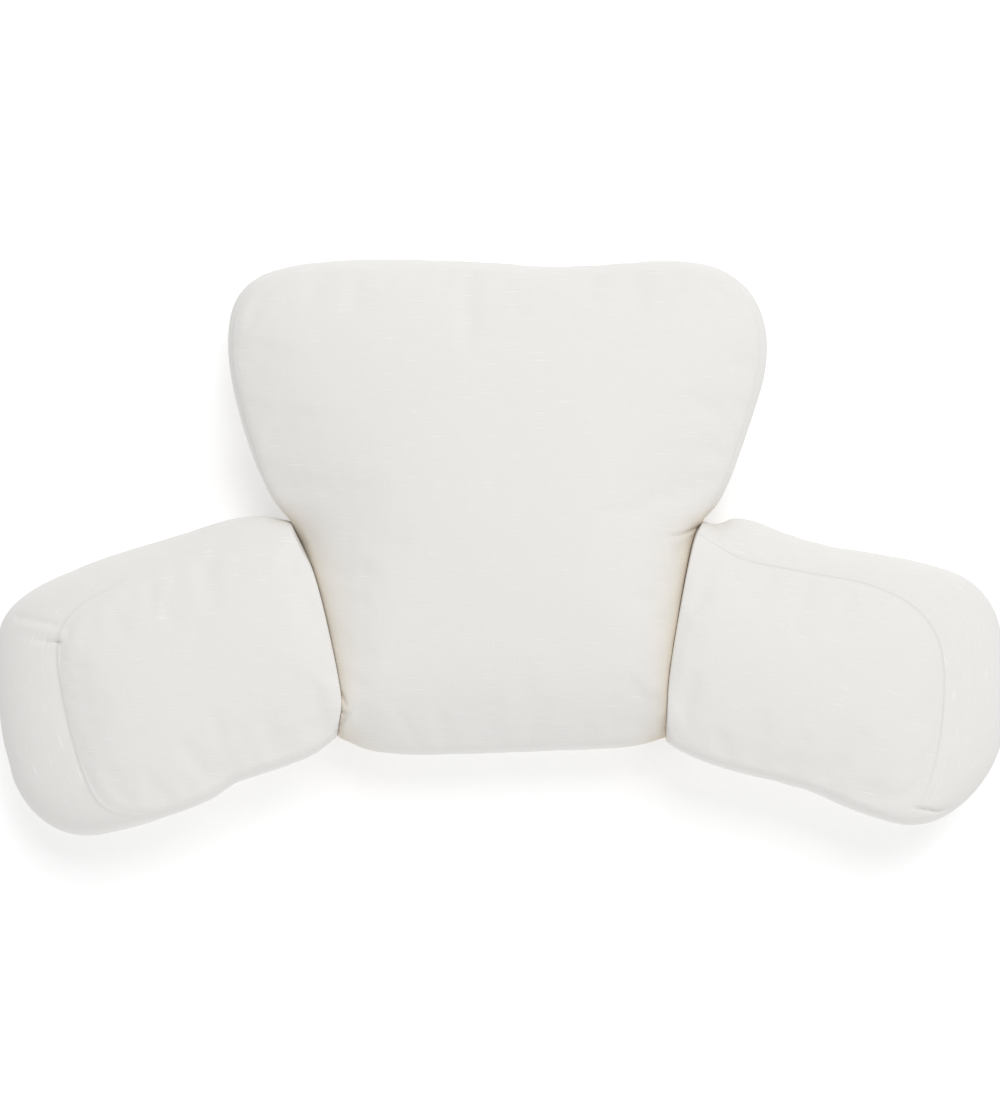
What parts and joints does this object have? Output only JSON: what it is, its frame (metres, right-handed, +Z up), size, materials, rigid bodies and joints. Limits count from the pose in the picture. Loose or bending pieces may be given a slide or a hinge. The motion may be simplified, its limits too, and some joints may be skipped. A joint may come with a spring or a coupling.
{
  "type": "pram cushion",
  "caption": "Off-white linen pram cushion: a plump winged back cushion with a boxed, filled arm cushion sewn along each of its lower sides.",
  "frame": {"origin": "on the surface that the cushion lies on, under the middle of its whole outline", "axes": "+X to the right arm seen from above, +Y to the head end of the back cushion, +Z up out of its front face"},
  "size_m": [0.6587, 0.3734, 0.1008],
  "materials": {
    "back_cloth": "off-white slub linen, matt, plain weave",
    "arm_cloth": "off-white slub linen, matt, plain weave"
  },
  "bodies": {
    "root": {"back_cushion": "back_cloth", "left_arm": "arm_cloth", "right_arm": "arm_cloth"}
  },
  "joints": []
}
